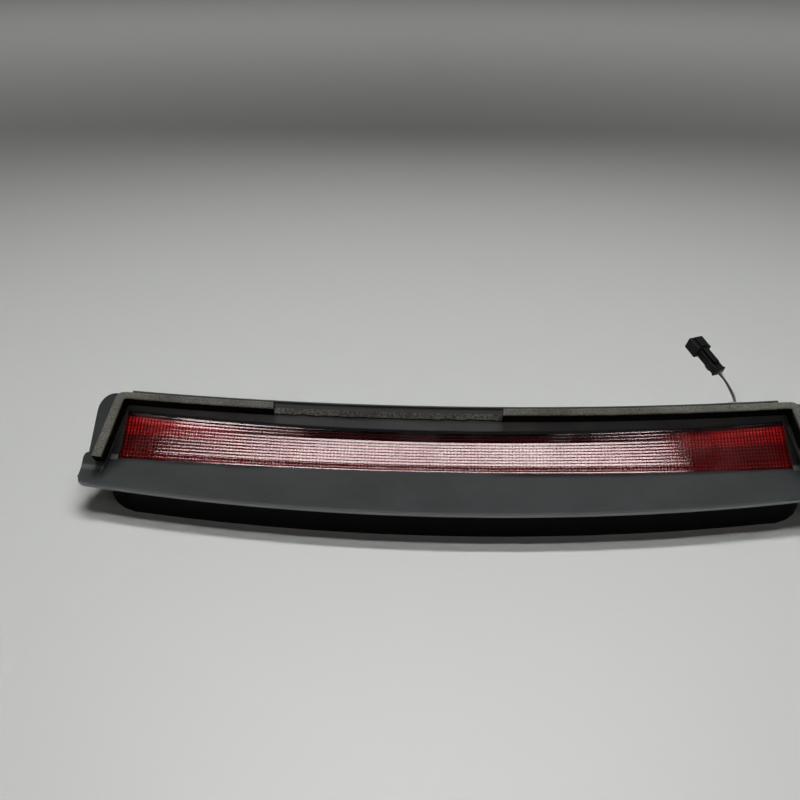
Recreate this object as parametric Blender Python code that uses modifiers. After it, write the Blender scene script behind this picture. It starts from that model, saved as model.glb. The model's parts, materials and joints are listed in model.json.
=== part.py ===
"""Interior high-level stop lamp for a sloping rear window.

X runs along the lamp, the lens faces -Y and +Z is up. The origin is under the middle of the lamp.
Depths are first counted from the middle of the apron's front edge and then shifted by CENTRE_DEPTH.
Heights are counted from the lamp's own level, which lies STAND_HEIGHT above the surface it stands on.
"""

import math

import bmesh
import bpy
from mathutils import Matrix, Vector

MM = 0.001

# Plan: every long edge of the lamp is a shallow arc, given by its depth at the middle and its radius.
FRONT_RADIUS = 1153 * MM
LENS_FOOT_DEPTH = 45.3 * MM
LENS_FOOT_RADIUS = 2276 * MM
REAR_EDGE_DEPTH = 73.4 * MM
REAR_EDGE_RADIUS = 1686 * MM
BACK_WALL_DEPTH = 88 * MM
BACK_WALL_RADIUS = 1900 * MM
CENTRE_DEPTH = 54.5 * MM
STAND_HEIGHT = 10 * MM

# Heights and the slope of the plate that lies parallel to the window glass.
GLASS_TILT = math.radians(34)
REAR_HEIGHT = 47 * MM
FRONT_HEIGHT = 11 * MM
FRONT_UNDERSIDE = 9 * MM
APRON_RISE = 0.033
EAR_FILLET = 6 * MM
LENS_FOOT_HEIGHT = 12.5 * MM

# Shroud.
WALL = 2 * MM
GAP = 0.3 * MM
LIP_RADIUS = 1.8 * MM
TAB_HALF = 254 * MM
TAB_DEPTH = 51.5 * MM
TAB_FRONT_RADIUS = 8 * MM
TAB_REAR_RADIUS = 3 * MM
EAR_HALF = 250.5 * MM
EAR_RADIUS = 12 * MM
EAR_STEP = 2.3 * MM
ROOF_DOWN = 18.1 * MM
ROOF_TAPER = 4.1 * MM
ROOF_EDGE_THICKNESS = 1.8 * MM
RECESS_HALF_LOW = 238.5 * MM
RECESS_HALF_HIGH = 228 * MM
RECESS_LOW_HEIGHT = 12.5 * MM
RECESS_HIGH_HEIGHT = 39 * MM
HOLLOW_HALF = 236 * MM
WINDOW_HALF_LOW = 233 * MM
WINDOW_HALF_HIGH = 228.5 * MM
RIM_HEIGHT = 36 * MM
REAR_LIP_HALF = 227 * MM
REAR_LIP_HEIGHT = 47.3 * MM
REAR_LIP_THICKNESS = 1.6 * MM
SKIRT_SETBACK = 5.5 * MM
SKIRT_HALF = 239.5 * MM
SKIRT_CORNER = Vector((205, 62)) * MM
SKIRT_THICKNESS = 2.2 * MM

# Foam gasket, glued to the plate. Distances "down" are measured along the plate from its rear edge.
FOAM_THICKNESS = 10 * MM
FOAM_OUTER_DOWN = 5.4 * MM
FOAM_INNER_DOWN = 11.1 * MM
FOAM_END_DOWN = 55.2 * MM
RESIDUE_THICKNESS = 0.9 * MM
FOAM_LEFT_END = -124 * MM
FOAM_RIGHT_START = 35 * MM
FOAM_SEAM = 187.3 * MM

# Lens and lamp unit.
LENS_THICKNESS = 2.4 * MM
LENS_TUCK = 1.5 * MM
LENS_DROP = 2.2 * MM
LENS_SKIRT = 2.5 * MM
LENS_HALF_LOW = 235.4 * MM
LENS_HALF_HIGH = 231.5 * MM
GASKET_THICKNESS = 1.5 * MM
GASKET_WIDTH = 3.2 * MM
HOUSING_HALF = 234 * MM
HOUSING_BOTTOM = 6 * MM
HOUSING_TOP = 33.4 * MM
HOUSING_SETBACK = LENS_THICKNESS + GASKET_THICKNESS + 2 * GAP
REFLECTOR_THICKNESS = 1 * MM
BULB_POSITIONS = [-180 * MM, -90 * MM, 0.0, 90 * MM, 180 * MM]
BULB_HEIGHT = 19 * MM
BULB_RADIUS = 4.9 * MM
BULB_LENGTH = 19 * MM
BASE_LENGTH = 7 * MM
BASE_WIDTH = 9.6 * MM
BASE_THICKNESS = 2.4 * MM
SOCKET_RADIUS = 7.3 * MM
SOCKET_REACH = 9 * MM
SOCKET_HOLE_RADIUS = 8.5 * MM
BOSS_RADIUS = 6.5 * MM
BOSS_DEPTH = 3 * MM
CARRIER_HALF = 213 * MM
CARRIER_THICKNESS = 2.2 * MM
CARRIER_BOTTOM = 7 * MM
CARRIER_TOP = 31 * MM
RAIL_HEIGHT = 4 * MM
RAIL_THICKNESS = 0.6 * MM
RAIL_HALF = 200 * MM
RAIL_LEVELS = {"live": 28.6 * MM, "earth": 9.6 * MM}
LATCH_LENGTH = 14 * MM
LATCH_HEIGHT = 10 * MM
LATCH_THICKNESS = 1.8 * MM
LATCH_ROOT = 0.5 * MM

# Fasteners and fixings.
SCREW_POSITIONS = [-185 * MM, -75 * MM, 75 * MM, 185 * MM]
SCREW_HEIGHT = 40 * MM
SCREW_HEAD_RADIUS = 3.5 * MM
SCREW_HEAD_HEIGHT = 2.2 * MM
SCREW_SHANK_RADIUS = 1.4 * MM
SCREW_HOLE_RADIUS = 1.8 * MM
HOUSING_SCREW_LENGTH = 5.6 * MM
BRACKET_SCREW_LENGTH = 3.7 * MM
LUG_WIDTH = 13 * MM
BRACKET_POSITIONS = {"left": -125 * MM, "right": 125 * MM}
BRACKET_WIDTH = 16 * MM
BRACKET_THICKNESS = 1.5 * MM
FOOT_HOLE_RADIUS = 1.95 * MM

# Lead and plug. The plug's own frame has its origin at its rear face and +Y towards its mating face.
WIRE_DIAMETER = 1.6 * MM
PLUG_REAR = Vector((205.7, 145.0, 39.9)) * MM
PLUG_AXIS = Vector((-13.4, 29.0, 12.0)).normalized()
PLUG_HEAD = Vector((12.7, 12.5, 9.4)) * MM
PLUG_BODY = Vector((8.0, 22.0, 6.4)) * MM
PLUG_FLANGE = Vector((9.2, 1.3, 7.2)) * MM
PLUG_LENGTH = 34 * MM
TERMINAL_OFFSET = 2.6 * MM
LIVE_ROUTE = [
    (200.4, 103.4, 28.6), (202.4, 103.5, 28.7), (204.3, 104.1, 29.1), (205.9, 105.3, 29.8),
    (206.9, 107.0, 30.9), (207.6, 109.2, 32.3), (208.0, 112.0, 33.7), (208.1, 116.0, 35.3),
    (207.7, 121.0, 36.9), (207.0, 128.0, 38.4), (206.5, 134.0, 39.0), (206.1, 139.0, 39.0),
    (205.6, 142.4, 39.1), (204.8, 144.1, 39.7),
]
EARTH_ROUTE = [
    (200.4, 103.4, 9.6), (202.8, 103.5, 10.4), (204.8, 103.8, 12.8), (205.9, 104.1, 16.6),
    (206.3, 104.4, 20.6), (206.6, 105.2, 24.4), (207.0, 106.8, 27.6), (207.7, 109.4, 29.8),
    (208.3, 112.8, 31.7), (208.4, 117.0, 33.4), (208.2, 122.0, 34.9), (207.8, 128.0, 36.4),
    (207.8, 134.0, 37.2), (207.9, 139.0, 37.9), (207.8, 143.2, 38.9), (207.0, 145.1, 39.7),
]

# Spacing of the cross-sections that the long parts are lofted through.
STATION_STEP = 16 * MM


def clear_scene():
    for obj in list(bpy.data.objects):
        bpy.data.objects.remove(obj, do_unlink=True)


def make_collection(name):
    collection = bpy.data.collections.new(name)
    bpy.context.scene.collection.children.link(collection)
    return collection


def make_material(name, colour, roughness, metallic=0.0):
    material = bpy.data.materials.new(name)
    material.use_nodes = True
    shader = material.node_tree.nodes["Principled BSDF"]
    shader.inputs["Base Color"].default_value = (*colour, 1.0)
    shader.inputs["Roughness"].default_value = roughness
    shader.inputs["Metallic"].default_value = metallic
    return material


def make_frame(name, location, rotation=None, parent=None):
    frame = bpy.data.objects.new(name, None)
    PARTS.objects.link(frame)
    frame.parent = parent
    frame.location = location
    if rotation:
        frame.rotation_euler = rotation
    return frame


clear_scene()
PARTS = make_collection("high_level_stop_lamp")
TOOLS = make_collection("cutters_and_joins")
LAMP = make_frame("lamp_frame", (0, -CENTRE_DEPTH, STAND_HEIGHT))
MATERIALS = {
    "shroud_plastic": make_material("shroud_plastic", (0.055, 0.058, 0.06), 0.5),
    "foam": make_material("foam", (0.12, 0.115, 0.10), 0.95),
    "red_lens": make_material("red_lens", (0.45, 0.01, 0.015), 0.15),
    "gasket_rubber": make_material("gasket_rubber", (0.02, 0.02, 0.02), 0.8),
    "housing_plastic": make_material("housing_plastic", (0.03, 0.03, 0.032), 0.45),
    "bright_reflector": make_material("bright_reflector", (0.85, 0.85, 0.86), 0.15, 1.0),
    "carrier_plastic": make_material("carrier_plastic", (0.55, 0.55, 0.52), 0.5),
    "brass": make_material("brass", (0.75, 0.58, 0.28), 0.3, 1.0),
    "bulb_glass": make_material("bulb_glass", (0.85, 0.87, 0.88), 0.05),
    "zinc_steel": make_material("zinc_steel", (0.6, 0.6, 0.58), 0.35, 1.0),
    "plug_plastic": make_material("plug_plastic", (0.012, 0.012, 0.013), 0.4),
    "wire_black": make_material("wire_black", (0.012, 0.012, 0.012), 0.5),
    "wire_light": make_material("wire_light", (0.6, 0.6, 0.58), 0.5),
}


# ---------------------------------------------------------------- shape helpers

def add_object(name, mesh, look=None, parent=LAMP):
    """Link a mesh as a finished part when it has a look, or else as a hidden cutter or join."""
    obj = bpy.data.objects.new(name, mesh)
    obj.parent = parent
    if look:
        mesh.materials.append(MATERIALS[look])
        PARTS.objects.link(obj)
        return obj
    TOOLS.objects.link(obj)
    obj.hide_render = True
    obj.display_type = "WIRE"
    return obj


def mesh_from(bm, name):
    bmesh.ops.recalc_face_normals(bm, faces=bm.faces)
    if bm.calc_volume(signed=True) < 0:
        bmesh.ops.reverse_faces(bm, faces=bm.faces)
    mesh = bpy.data.meshes.new(name)
    bm.to_mesh(mesh)
    bm.free()
    return mesh


def loft(name, sections, look=None, parent=LAMP):
    """Closed solid through a row of closed sections that all have the same number of points."""
    bm = bmesh.new()
    rings = [[bm.verts.new(point) for point in section] for section in sections]
    count = len(rings[0])
    for ring, following in zip(rings, rings[1:]):
        for i in range(count):
            j = (i + 1) % count
            bm.faces.new((ring[i], ring[j], following[j], following[i]))
    bm.faces.new(rings[0])
    bm.faces.new(rings[-1])
    return add_object(name, mesh_from(bm, name), look, parent)


def box(name, low, high, look=None, parent=LAMP, round_edges=0.0):
    low = Vector(low)
    high = Vector(high)
    bm = bmesh.new()
    bmesh.ops.create_cube(bm, size=1.0, matrix=Matrix.Translation((low + high) / 2)
                          @ Matrix.Diagonal((*(high - low), 1.0)))
    obj = add_object(name, mesh_from(bm, name), look, parent)
    if round_edges:
        bevel = obj.modifiers.new("rounded_edges", "BEVEL")
        bevel.width = round_edges
        bevel.segments = 2
    return obj


def cylinder(name, radius, start, end, look=None, parent=LAMP, segments=24):
    """Cylinder between two points."""
    start = Vector(start)
    end = Vector(end)
    turn = (end - start).to_track_quat("Z", "Y").to_matrix().to_4x4()
    bm = bmesh.new()
    bmesh.ops.create_cone(bm, cap_ends=True, segments=segments, radius1=radius, radius2=radius,
                          depth=(end - start).length, matrix=Matrix.Translation((start + end) / 2) @ turn)
    mesh = mesh_from(bm, name)
    mesh.shade_smooth()
    mesh.set_sharp_from_angle(angle=math.radians(40))
    return add_object(name, mesh, look, parent)


def turned(name, profile, look=None, parent=LAMP, steps=20):
    """Solid of revolution about its own Z. The profile runs from the top of the axis to its foot."""
    mesh = bpy.data.meshes.new(name)
    mesh.from_pydata([(radius, 0, height) for radius, height in profile],
                     [(i, i + 1) for i in range(len(profile) - 1)], [])
    obj = add_object(name, mesh, look, parent)
    screw = obj.modifiers.new("turned", "SCREW")
    screw.steps = steps
    screw.render_steps = steps
    screw.use_merge_vertices = True
    screw.merge_threshold = 0.00001
    screw.use_smooth_shade = True
    return obj


def boolean(obj, other, operation):
    modifier = obj.modifiers.new(other.name, "BOOLEAN")
    modifier.object = other
    modifier.operation = operation
    modifier.solver = "EXACT"


def cut(obj, *cutters):
    for cutter in cutters:
        boolean(obj, cutter, "DIFFERENCE")


def join(obj, *others):
    for other in others:
        boolean(obj, other, "UNION")


def stations(half):
    """Evenly spaced places along X from -half to half."""
    count = 2 * math.ceil(half / STATION_STEP)
    return [half * (2 * i / count - 1) for i in range(count + 1)]


def at(x, points):
    """Section points (depth, height) placed at one x."""
    return [(x, point[0], point[1]) for point in points]


def narrowing(share, outline, half_at):
    """Section whose points stand at one share of a half-width that changes with height."""
    return [(share * half_at(height), depth, height) for depth, height in outline]


def share_between(low, high, value):
    return (value - low) / (high - low)


# ---------------------------------------------------------------- the lamp's own curves

def front_edge(x):
    return x * x / (2 * FRONT_RADIUS)


def lens_foot(x):
    return LENS_FOOT_DEPTH + x * x / (2 * LENS_FOOT_RADIUS)


def rear_edge(x):
    return REAR_EDGE_DEPTH + x * x / (2 * REAR_EDGE_RADIUS)


def back_wall(x):
    return BACK_WALL_DEPTH + x * x / (2 * BACK_WALL_RADIUS)


def turn_of(x, radius):
    """Angle about Z by which an arc of this radius has turned at x."""
    return math.atan(x / radius)


def plate_height(x, depth):
    return REAR_HEIGHT - (rear_edge(x) - depth) * math.tan(GLASS_TILT)


def on_plate(x, down, lift=0.0):
    """Point at x, down the plate from its rear edge and lifted off it."""
    depth = rear_edge(x) - down * math.cos(GLASS_TILT) - lift * math.sin(GLASS_TILT)
    return Vector((x, depth, REAR_HEIGHT - down * math.sin(GLASS_TILT) + lift * math.cos(GLASS_TILT)))


def apron_height(x, depth):
    return FRONT_HEIGHT + (depth - front_edge(x)) * APRON_RISE


def plate_foot(x):
    """Depth where the sloping plate meets the apron."""
    slope = math.tan(GLASS_TILT)
    rise = FRONT_HEIGHT - REAR_HEIGHT - APRON_RISE * front_edge(x) + slope * rear_edge(x)
    return rise / (slope - APRON_RISE)


def roof_edge(x):
    """Front edge of the flange over the lens, as (depth, height)."""
    down = ROOF_DOWN - ROOF_TAPER * (x / REAR_LIP_HALF) ** 2
    point = on_plate(x, down)
    return Vector((point.y, point.z))


def lens_frame(x):
    """Foot of the lens's front face, its top, the direction up it and the one out of it."""
    foot = Vector((lens_foot(x), LENS_FOOT_HEIGHT))
    top = roof_edge(x) + Vector((LENS_TUCK, -LENS_DROP))
    up = (top - foot).normalized()
    return foot, top, up, Vector((-up.y, up.x))


def behind_lens(x, distance, height):
    """Point at a height on the plane that lies a distance behind the lens's front face."""
    foot, _, up, out = lens_frame(x)
    start = foot - out * distance
    return start + up * ((height - start.y) / up.y)


def recess_half(height):
    """Half-width of the recess around the lens, which narrows upwards."""
    part = share_between(RECESS_LOW_HEIGHT, RECESS_HIGH_HEIGHT, height)
    return RECESS_HALF_LOW + (RECESS_HALF_HIGH - RECESS_HALF_LOW) * part


def corner(side, half, radius):
    """How far a rounded plan corner pulls an edge in at this distance from the middle."""
    beyond = side - half + radius
    if beyond <= 0:
        return 0.0
    return radius - math.sqrt(max(radius * radius - beyond * beyond, 0.0))


# ---------------------------------------------------------------- shroud

def ear_fillet(x):
    """Points of the hollow curve by which the plate runs out into the apron."""
    foot = plate_foot(x)
    corner_point = Vector((foot, apron_height(x, foot)))
    start = Vector((foot - EAR_FILLET, apron_height(x, foot - EAR_FILLET)))
    rise = Vector((math.cos(GLASS_TILT), math.sin(GLASS_TILT)))
    end = corner_point + rise * EAR_FILLET
    steps = [i / 4 for i in range(5)]
    return [start.lerp(corner_point, t).lerp(corner_point.lerp(end, t), t) for t in steps]


def envelope_section(x):
    side = abs(x)
    front = front_edge(x) + corner(side, TAB_HALF, TAB_FRONT_RADIUS)
    rear = TAB_DEPTH - corner(side, TAB_HALF, TAB_REAR_RADIUS)
    if side <= EAR_HALF:
        rear = rear_edge(x) - corner(side, EAR_HALF, EAR_RADIUS)
    if REAR_LIP_HALF < side <= EAR_HALF:
        rear -= EAR_STEP
    soft = LIP_RADIUS * (1 - math.cos(math.radians(45)))
    return at(x, [
        (front, FRONT_UNDERSIDE),
        (front, FRONT_HEIGHT - LIP_RADIUS),
        (front + soft, FRONT_HEIGHT - soft),
        (front + LIP_RADIUS, apron_height(x, front + LIP_RADIUS)),
        *ear_fillet(x),
        (rear, plate_height(x, rear)),
        (rear, FRONT_UNDERSIDE),
    ])


def envelope():
    """Solid under the whole outer surface, with the ear and tab corners rounded in plan."""
    straight = [x for x in stations(REAR_LIP_HALF) if x >= 0]
    round_steps = [math.radians(angle) for angle in (15, 30, 45, 60, 75)]
    ear = [REAR_LIP_HALF + 0.05 * MM, EAR_HALF - EAR_RADIUS]
    ear += [EAR_HALF - EAR_RADIUS + EAR_RADIUS * math.sin(angle) for angle in round_steps]
    tab = [EAR_HALF, EAR_HALF + 0.05 * MM, 252 * MM, 253.2 * MM, TAB_HALF]
    half = straight + ear + tab
    places = [-x for x in reversed(half[1:])] + half
    return loft("shroud", [envelope_section(x) for x in places], "shroud_plastic")


def recess_cutter():
    """Space over the apron and in front of the lens."""
    ceiling = 60 * MM
    step = 0.1 * MM
    sections = []
    for x in stations(RECESS_HALF_LOW):
        start = front_edge(x) + 7 * MM
        back = behind_lens(x, -WALL - GAP, LENS_FOOT_HEIGHT - step)
        roof = roof_edge(x * RECESS_HALF_HIGH / RECESS_HALF_LOW)
        outline = [
            (start, apron_height(x, start) - step),
            (back.x, apron_height(x, back.x) - step),
            (roof.x, roof.y - ROOF_EDGE_THICKNESS),
            (roof.x, ceiling),
            (start, ceiling),
        ]
        sections.append(narrowing(x / RECESS_HALF_LOW, outline, recess_half))
    return loft("recess", sections)


def hollow_section(x):
    """Underside of the shroud, one wall below its apron, lens frame and flange."""
    front = front_edge(x) + 3 * MM
    thickness = WALL + 0.1 * MM
    drop = WALL / math.cos(GLASS_TILT)
    rim = rear_edge(x) - WALL
    under = apron_height(x, lens_foot(x)) - thickness
    apron_rear = behind_lens(x, -GAP, under)
    _, _, up, _ = lens_frame(x)
    to_plate = plate_height(x, apron_rear.x) - drop - under
    top = apron_rear + up * (to_plate / (up.y - up.x * math.tan(GLASS_TILT)))
    return at(x, [
        (front, -20 * MM),
        (front, apron_height(x, front) - thickness),
        apron_rear,
        top,
        (rim, plate_height(x, rim) - drop),
        (rim, RIM_HEIGHT),
        (rim + 40 * MM, RIM_HEIGHT),
        (rim + 40 * MM, -20 * MM),
    ])


def hollow_cutter():
    return loft("underside_hollow", [hollow_section(x) for x in stations(HOLLOW_HALF)])


def ear_hollow_cutter(name, sign):
    """Straight-sided space under one ear plate, between the recess wall and the outer wall."""
    outer = EAR_HALF - WALL
    floor = FRONT_UNDERSIDE - 0.6 * MM
    drop = WALL / math.cos(GLASS_TILT)
    front = front_edge(outer) + 3 * MM
    foot = plate_foot(outer) + 1 * MM
    rear = rear_edge(outer) - corner(outer, EAR_HALF, EAR_RADIUS) - WALL
    outline = [
        (front, floor),
        (front, apron_height(outer, front) - WALL),
        (foot, apron_height(outer, foot) - WALL),
        (rear, plate_height(outer, rear) - drop),
        (rear, floor),
    ]
    inner_side = [(sign * (recess_half(height) + WALL), depth, height) for depth, height in outline]
    outer_side = [(sign * outer, depth, height) for depth, height in outline]
    return loft(name, [inner_side, outer_side])


def window_half(height):
    """Half-width of the opening in front of the lens, which narrows upwards."""
    part = share_between(RECESS_LOW_HEIGHT, RECESS_HIGH_HEIGHT, height)
    return WINDOW_HALF_LOW + (WINDOW_HALF_HIGH - WINDOW_HALF_LOW) * part


def window_cutter():
    """Opening in front of the lens, from the apron's surface up to the flange."""
    sections = []
    for x in stations(WINDOW_HALF_LOW):
        foot = behind_lens(x, -WALL - GAP, LENS_FOOT_HEIGHT)
        floor = apron_height(x, foot.x) - 0.1 * MM
        roof = roof_edge(x * WINDOW_HALF_HIGH / WINDOW_HALF_LOW)
        under = roof.y - ROOF_EDGE_THICKNESS - 0.05 * MM
        rear = roof + Vector((7, 7 * math.tan(GLASS_TILT) - 2.35)) * MM
        outline = [
            (foot.x - 3 * MM, floor),
            (foot.x + 4 * MM, floor),
            rear,
            (roof.x, under),
            (roof.x - 4 * MM, under),
        ]
        sections.append(narrowing(x / WINDOW_HALF_LOW, outline, window_half))
    return loft("lens_window", sections)


def rear_lip():
    """Thin raised lip along the rear edge of the flange."""
    sections = []
    for x in stations(REAR_LIP_HALF):
        rear = rear_edge(x)
        front = rear - REAR_LIP_THICKNESS
        foot = REAR_HEIGHT - 2.5 * MM
        back = rear + 0.1 * MM
        sections.append(at(x, [(front, foot), (front, REAR_LIP_HEIGHT), (back, REAR_LIP_HEIGHT),
                               (back, foot)]))
    return loft("rear_lip", sections)


def skirt_path():
    """Plan of the skirt that the shroud stands on: one side, the front, the other side."""
    reach = SKIRT_HALF - SKIRT_CORNER.x
    run = SKIRT_CORNER.y - front_edge(SKIRT_CORNER.x) - SKIRT_SETBACK
    left = [(-SKIRT_HALF, 84 * MM), (-SKIRT_HALF, 72 * MM)]
    for angle in range(0, 90, 15):
        turn = math.radians(angle)
        left.append((-SKIRT_CORNER.x - reach * math.cos(turn), SKIRT_CORNER.y - run * math.sin(turn)))
    front = [(x, front_edge(x) + SKIRT_SETBACK) for x in stations(SKIRT_CORNER.x)]
    right = [(-x, y) for x, y in reversed(left)]
    return left + front + right


def skirt():
    path = [Vector(point) for point in skirt_path()]
    sections = []
    for i, point in enumerate(path):
        along = (path[min(i + 1, len(path) - 1)] - path[max(i - 1, 0)]).normalized()
        side = Vector((-along.y, along.x)) * SKIRT_THICKNESS / 2
        inner = point + side
        outer = point - side
        top = FRONT_UNDERSIDE + 1.2 * MM
        foot = -STAND_HEIGHT
        sections.append([(*inner, foot), (*inner, top), (*outer, top), (*outer, foot)])
    return loft("skirt", sections)


def screw_hole(name, x, radius):
    """Hole along the depth through the shroud's rim and the housing's lug."""
    hole = cylinder(name, radius, (0, -8 * MM, 0), (0, 8 * MM, 0), segments=16)
    hole.location = (x, rear_edge(x), SCREW_HEIGHT)
    hole.rotation_euler.z = turn_of(x, REAR_EDGE_RADIUS)
    return hole


def make_shroud():
    shroud = envelope()
    for i, x in enumerate(SCREW_POSITIONS):
        cut(shroud, screw_hole(f"rim_hole_{i + 1}", x, SCREW_HOLE_RADIUS))
    cut(shroud, recess_cutter(), hollow_cutter(), window_cutter())
    cut(shroud, ear_hollow_cutter("ear_hollow_left", -1), ear_hollow_cutter("ear_hollow_right", 1))
    join(shroud, rear_lip(), skirt())


# ---------------------------------------------------------------- foam gasket

def foam_strip(name, edges, thickness=FOAM_THICKNESS):
    """Strip on the plate through pairs of outer and inner edge points (x, down)."""
    sections = []
    for outer, inner in edges:
        sections.append([
            on_plate(*outer, GAP), on_plate(*inner, GAP),
            on_plate(*inner, GAP + thickness), on_plate(*outer, GAP + thickness),
        ])
    loft(name, sections, "foam")


def straight_foam(start, end):
    count = max(2, math.ceil(abs(end - start) / STATION_STEP))
    places = [start + (end - start) * i / count for i in range(count + 1)]
    return [((x, FOAM_OUTER_DOWN), (x, FOAM_INNER_DOWN)) for x in places]


def foam_corner(sign, reach):
    """Edges round the corner and down the side; reach widens the corner."""
    outer = [(230 + reach, 5.7), (233.5 + reach, 7.6), (235.4 + reach, 11.0)]
    inner = [(227.5 + reach, 11.3), (228.9 + reach, 12.4), (229.6 + reach, 14.6)]
    outer_end = (244.3 + reach / 3, FOAM_END_DOWN / MM)
    inner_end = (237.3 + reach / 3, FOAM_END_DOWN / MM)
    for share in (1 / 3, 2 / 3, 1):
        outer.append(tuple(a + (b - a) * share for a, b in zip(outer[2], outer_end)))
        inner.append(tuple(a + (b - a) * share for a, b in zip(inner[2], inner_end)))
    return [((sign * a[0] * MM, a[1] * MM), (sign * b[0] * MM, b[1] * MM)) for a, b in zip(outer, inner)]


def make_foam():
    corner_start = 219 * MM
    foam_strip("foam_seal_left", straight_foam(FOAM_LEFT_END, -corner_start) + foam_corner(-1, 0))
    slanted = [((FOAM_RIGHT_START + 1 * MM, FOAM_OUTER_DOWN),
                (FOAM_RIGHT_START - 1 * MM, FOAM_INNER_DOWN))]
    straight = straight_foam(FOAM_RIGHT_START + 4 * MM, FOAM_SEAM)
    foam_strip("foam_seal_right", slanted + straight)
    end = straight_foam(FOAM_SEAM + GAP, corner_start)
    foam_strip("foam_seal_right_corner", end + foam_corner(1, 2))
    residue = []
    steps = 26
    start = FOAM_LEFT_END + 1 * MM
    end_x = FOAM_RIGHT_START - 2 * MM
    for i in range(steps + 1):
        x = start + (end_x - start) * i / steps
        torn = 0.5 * MM * math.sin(2.4 * i) + 0.4 * MM * math.sin(5.1 * i)
        residue.append(((x, FOAM_OUTER_DOWN + 0.3 * MM), (x, FOAM_INNER_DOWN - 0.8 * MM + torn)))
    foam_strip("foam_residue", residue, RESIDUE_THICKNESS)


# ---------------------------------------------------------------- lens and its gasket

def lens_section(share, front, back, inset=0.0, reach=0.0):
    """Slice across the lens outline between two planes behind its front face."""
    low = share * (LENS_HALF_LOW - inset)
    high = share * (LENS_HALF_HIGH - inset)
    foot, _, up, out = lens_frame(low)
    _, top, up_high, out_high = lens_frame(high)
    bottom = foot - up * (LENS_SKIRT - inset)
    ceiling = top - up_high * inset
    near_low = bottom - out * (front - reach)
    far_low = bottom - out * (back + reach)
    near_high = ceiling - out_high * (front - reach)
    far_high = ceiling - out_high * (back + reach)
    return [(low, *near_low), (high, *near_high), (high, *far_high), (low, *far_low)]


def lens_plate(name, front, back, look=None, inset=0.0, reach=0.0):
    shares = [x / LENS_HALF_LOW for x in stations(LENS_HALF_LOW)]
    return loft(name, [lens_section(share, front, back, inset, reach) for share in shares], look)


def make_lens():
    lens_plate("lens", 0.0, LENS_THICKNESS, "red_lens")
    front = LENS_THICKNESS + GAP
    back = front + GASKET_THICKNESS
    gasket = lens_plate("lens_gasket", front, back, "gasket_rubber")
    cut(gasket, lens_plate("gasket_opening", front, back, inset=GASKET_WIDTH, reach=2 * MM))


# ---------------------------------------------------------------- housing and reflector

def trough_section(x, inset, setback):
    """Trough behind the lens: inset from the housing's outside, its mouth set back from the lens."""
    bottom = HOUSING_BOTTOM + inset
    rear = back_wall(x) - inset
    mouth_top = min(behind_lens(x, HOUSING_SETBACK, HOUSING_TOP).y, RIM_HEIGHT - 0.6 * MM) - inset
    top = HOUSING_TOP - inset
    foot = behind_lens(x, setback, bottom)
    head = behind_lens(x, setback, mouth_top)
    return at(x, [foot, (rear, bottom), (rear, top), head])


def trough(name, half, inset, setback, look=None):
    return loft(name, [trough_section(x, inset, setback) for x in stations(half)], look)


def socket_hole(name, x):
    hole = cylinder(name, SOCKET_HOLE_RADIUS, (0, -10 * MM, 0), (0, 6 * MM, 0))
    hole.location = (x, back_wall(x), BULB_HEIGHT)
    hole.rotation_euler.z = turn_of(x, BACK_WALL_RADIUS)
    return hole


def housing_lug(name, x):
    """Upright tab behind the shroud's rim that a screw passes through."""
    lug = box(name, (-LUG_WIDTH / 2, GAP, HOUSING_TOP - 1.4 * MM), (LUG_WIDTH / 2, 2.4 * MM, 44 * MM))
    lug.location = (x, rear_edge(x), 0)
    lug.rotation_euler.z = turn_of(x, REAR_EDGE_RADIUS)
    return lug


def catch_post(name, sign):
    """Post on the housing's back that the tip of a latch tongue rests beside."""
    x = sign * (CARRIER_HALF + LATCH_LENGTH + 2.6 * MM)
    post = box(name, (-1.6 * MM, -1 * MM, BULB_HEIGHT - 6 * MM), (1.6 * MM, 4 * MM, BULB_HEIGHT + 6 * MM))
    post.location = (x, back_wall(x), 0)
    post.rotation_euler.z = turn_of(x, BACK_WALL_RADIUS)
    return post


def make_housing():
    housing = trough("lamp_housing", HOUSING_HALF, 0.0, HOUSING_SETBACK, "housing_plastic")
    cut(housing, trough("housing_cavity", HOUSING_HALF - WALL, WALL, HOUSING_SETBACK - 6 * MM))
    for i, x in enumerate(SCREW_POSITIONS):
        join(housing, housing_lug(f"housing_lug_{i + 1}", x))
        cut(housing, screw_hole(f"lug_hole_{i + 1}", x, SCREW_HOLE_RADIUS))
    join(housing, catch_post("catch_post_left", -1), catch_post("catch_post_right", 1))
    for i, x in enumerate(BULB_POSITIONS):
        cut(housing, socket_hole(f"housing_socket_hole_{i + 1}", x))
    for side, x in BRACKET_POSITIONS.items():
        depth = back_wall(x) - 12 * MM
        cut(housing, cylinder(f"housing_bracket_hole_{side}", SCREW_HOLE_RADIUS, (x, depth, 2 * MM),
                              (x, depth, HOUSING_BOTTOM + WALL + 0.1 * MM), segments=16))


def make_reflector():
    clear = WALL + GAP
    reflector = trough("reflector", HOUSING_HALF - clear, clear, HOUSING_SETBACK + GAP, "bright_reflector")
    deep = clear + REFLECTOR_THICKNESS
    cut(reflector, trough("reflector_cavity", HOUSING_HALF - deep, deep, HOUSING_SETBACK - 6 * MM))
    for i, x in enumerate(BULB_POSITIONS):
        cut(reflector, socket_hole(f"reflector_socket_hole_{i + 1}", x))


# ---------------------------------------------------------------- bulb carrier

def follow_back(name, half, bottom, top, near, thickness, look=None):
    """Strip that follows the housing's back wall, near it by the given distance."""
    sections = []
    for x in stations(half):
        front = back_wall(x) + near
        sections.append(at(x, [(front, bottom), (front, top), (front + thickness, top),
                               (front + thickness, bottom)]))
    return loft(name, sections, look)


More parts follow.
